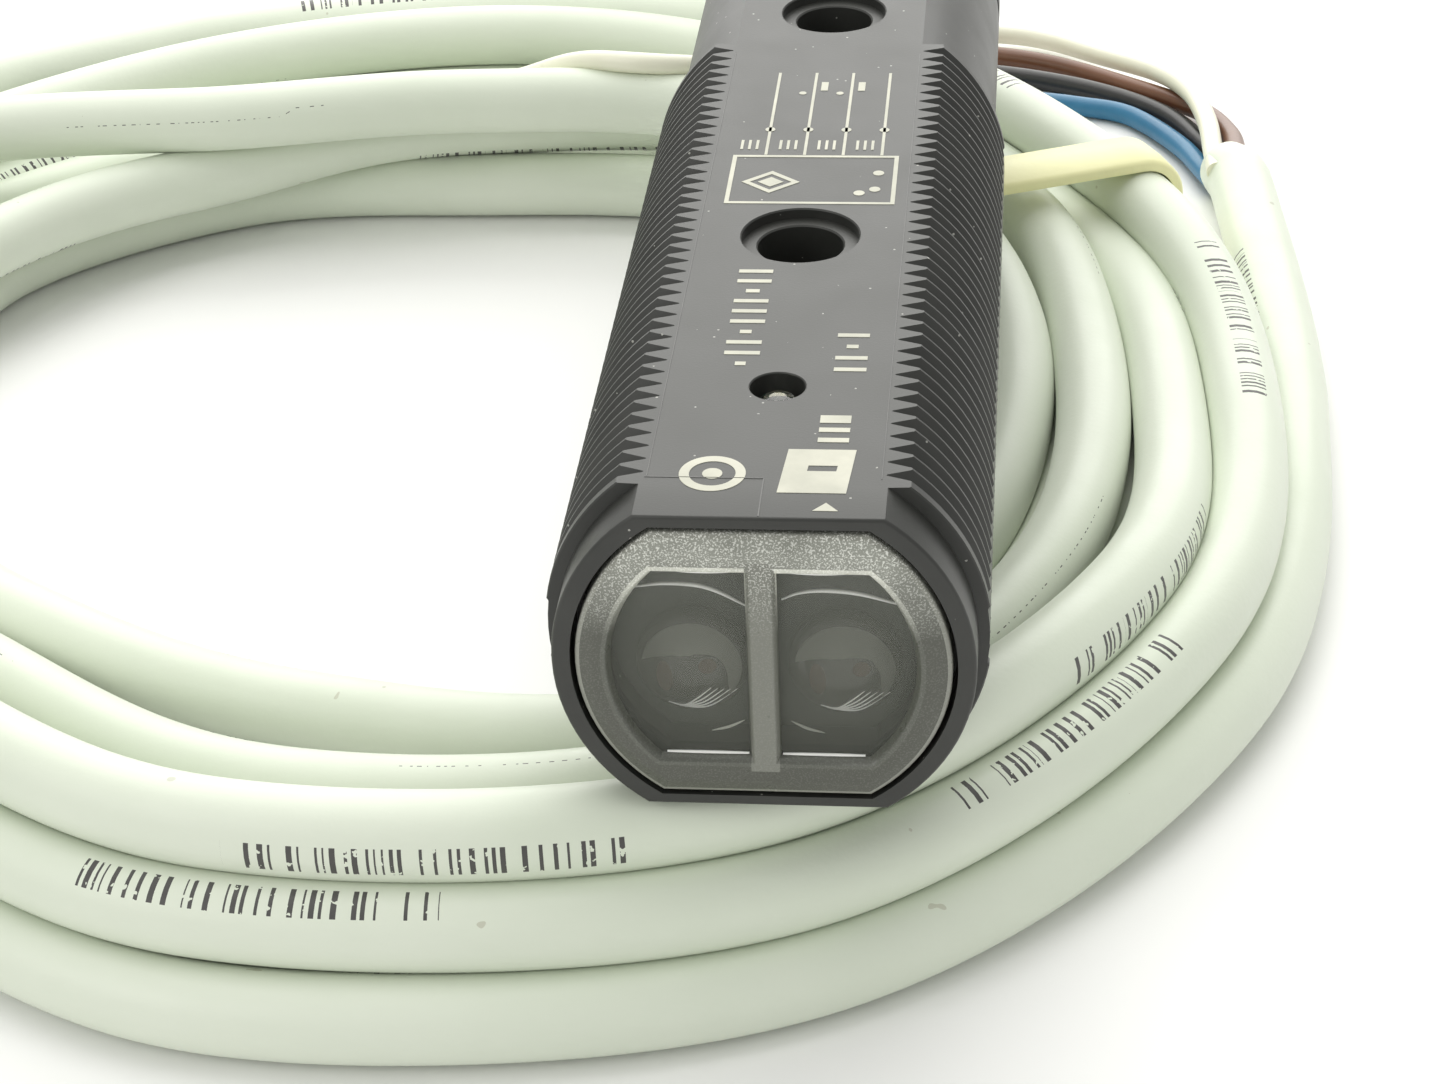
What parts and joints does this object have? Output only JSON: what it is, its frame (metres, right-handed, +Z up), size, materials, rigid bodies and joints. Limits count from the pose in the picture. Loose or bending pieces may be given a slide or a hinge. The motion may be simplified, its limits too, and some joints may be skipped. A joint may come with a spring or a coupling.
{
  "type": "photoelectric sensor",
  "caption": "Threaded cylindrical photoelectric sensor with flat sides, through mounting holes, a clear front window and a coiled connection cable with stripped ends.",
  "frame": {"origin": "centre of the sensor's bounding box, from the front window to the end of the strain relief, without the free cable", "axes": "+Y runs back along the sensor from its window to its cable, +Z points up out of the flat side with the indicator, +X is to the right seen from the front"},
  "size_m": [0.0983, 0.1092, 0.0246],
  "materials": {
    "housing_plastic": "black moulded plastic, fine sheen",
    "cap_plastic": "black moulded plastic, satin",
    "clear_cover": "clear polished plastic window",
    "clear_lens": "clear moulded lens",
    "clear_light_guide": "clear moulded light guide",
    "seal_rubber": "black rubber, matte",
    "holder_plastic": "black moulded plastic, matte",
    "barrier_plastic": "dark moulded plastic, matte",
    "diode_resin": "dark red clear resin, glossy",
    "board_laminate": "green solder mask, satin",
    "chip_epoxy": "black moulded epoxy",
    "shield_tin": "tinned sheet, satin",
    "capacitor_sleeve": "dark blue sleeve, glossy",
    "indicator_package": "pale moulded package",
    "adjuster_case": "blue moulded plastic",
    "adjuster_nylon": "off-white moulded plastic",
    "cable_jacket": "pale grey-green extruded jacket, soft sheen",
    "tie_band": "pale yellow plastic band",
    "conductor_white": "white conductor insulation",
    "conductor_brown": "brown conductor insulation",
    "conductor_black": "black conductor insulation",
    "conductor_blue": "blue conductor insulation"
  },
  "bodies": {
    "sensor": {"housing": "housing_plastic", "front_window": "clear_cover", "window_seal": "seal_rubber", "emitter_lens": "clear_lens", "receiver_lens": "clear_lens", "light_barrier": "barrier_plastic", "optics_holder": "holder_plastic", "emitter_diode": "diode_resin", "receiver_diode": "diode_resin", "circuit_board": "board_laminate", "indicator_led": "indicator_package", "indicator_light_guide": "clear_light_guide", "receiver_shield": "shield_tin", "processor_chip": "chip_epoxy", "driver_chip": "chip_epoxy", "output_transistor_left": "chip_epoxy", "output_transistor_right": "chip_epoxy", "filter_capacitor": "capacitor_sleeve", "adjuster_case": "adjuster_case", "rear_cap": "cap_plastic", "rear_seal": "seal_rubber", "strain_relief": "seal_rubber", "cable_in_strain_relief": "cable_jacket", "inner_lead_brown": "conductor_brown", "inner_lead_white": "conductor_white", "inner_lead_blue": "conductor_blue", "inner_lead_black": "conductor_black", "cable_run": "cable_jacket", "cable_coil": "cable_jacket", "cable_tail": "cable_jacket", "coil_tie": "tie_band", "conductor_white": "conductor_white", "conductor_brown": "conductor_brown", "conductor_black": "conductor_black", "conductor_blue": "conductor_blue"},
    "adjuster": {"adjuster_screw": "adjuster_nylon"}
  },
  "joints": [
    {"name": "sensitivity_adjuster", "type": "hinge", "parent": "sensor", "child": "adjuster", "pos_m": [0.0043, 0.029, 0.0003], "axis": [0, 1, 0], "range_deg": [-135, 135]}
  ]
}
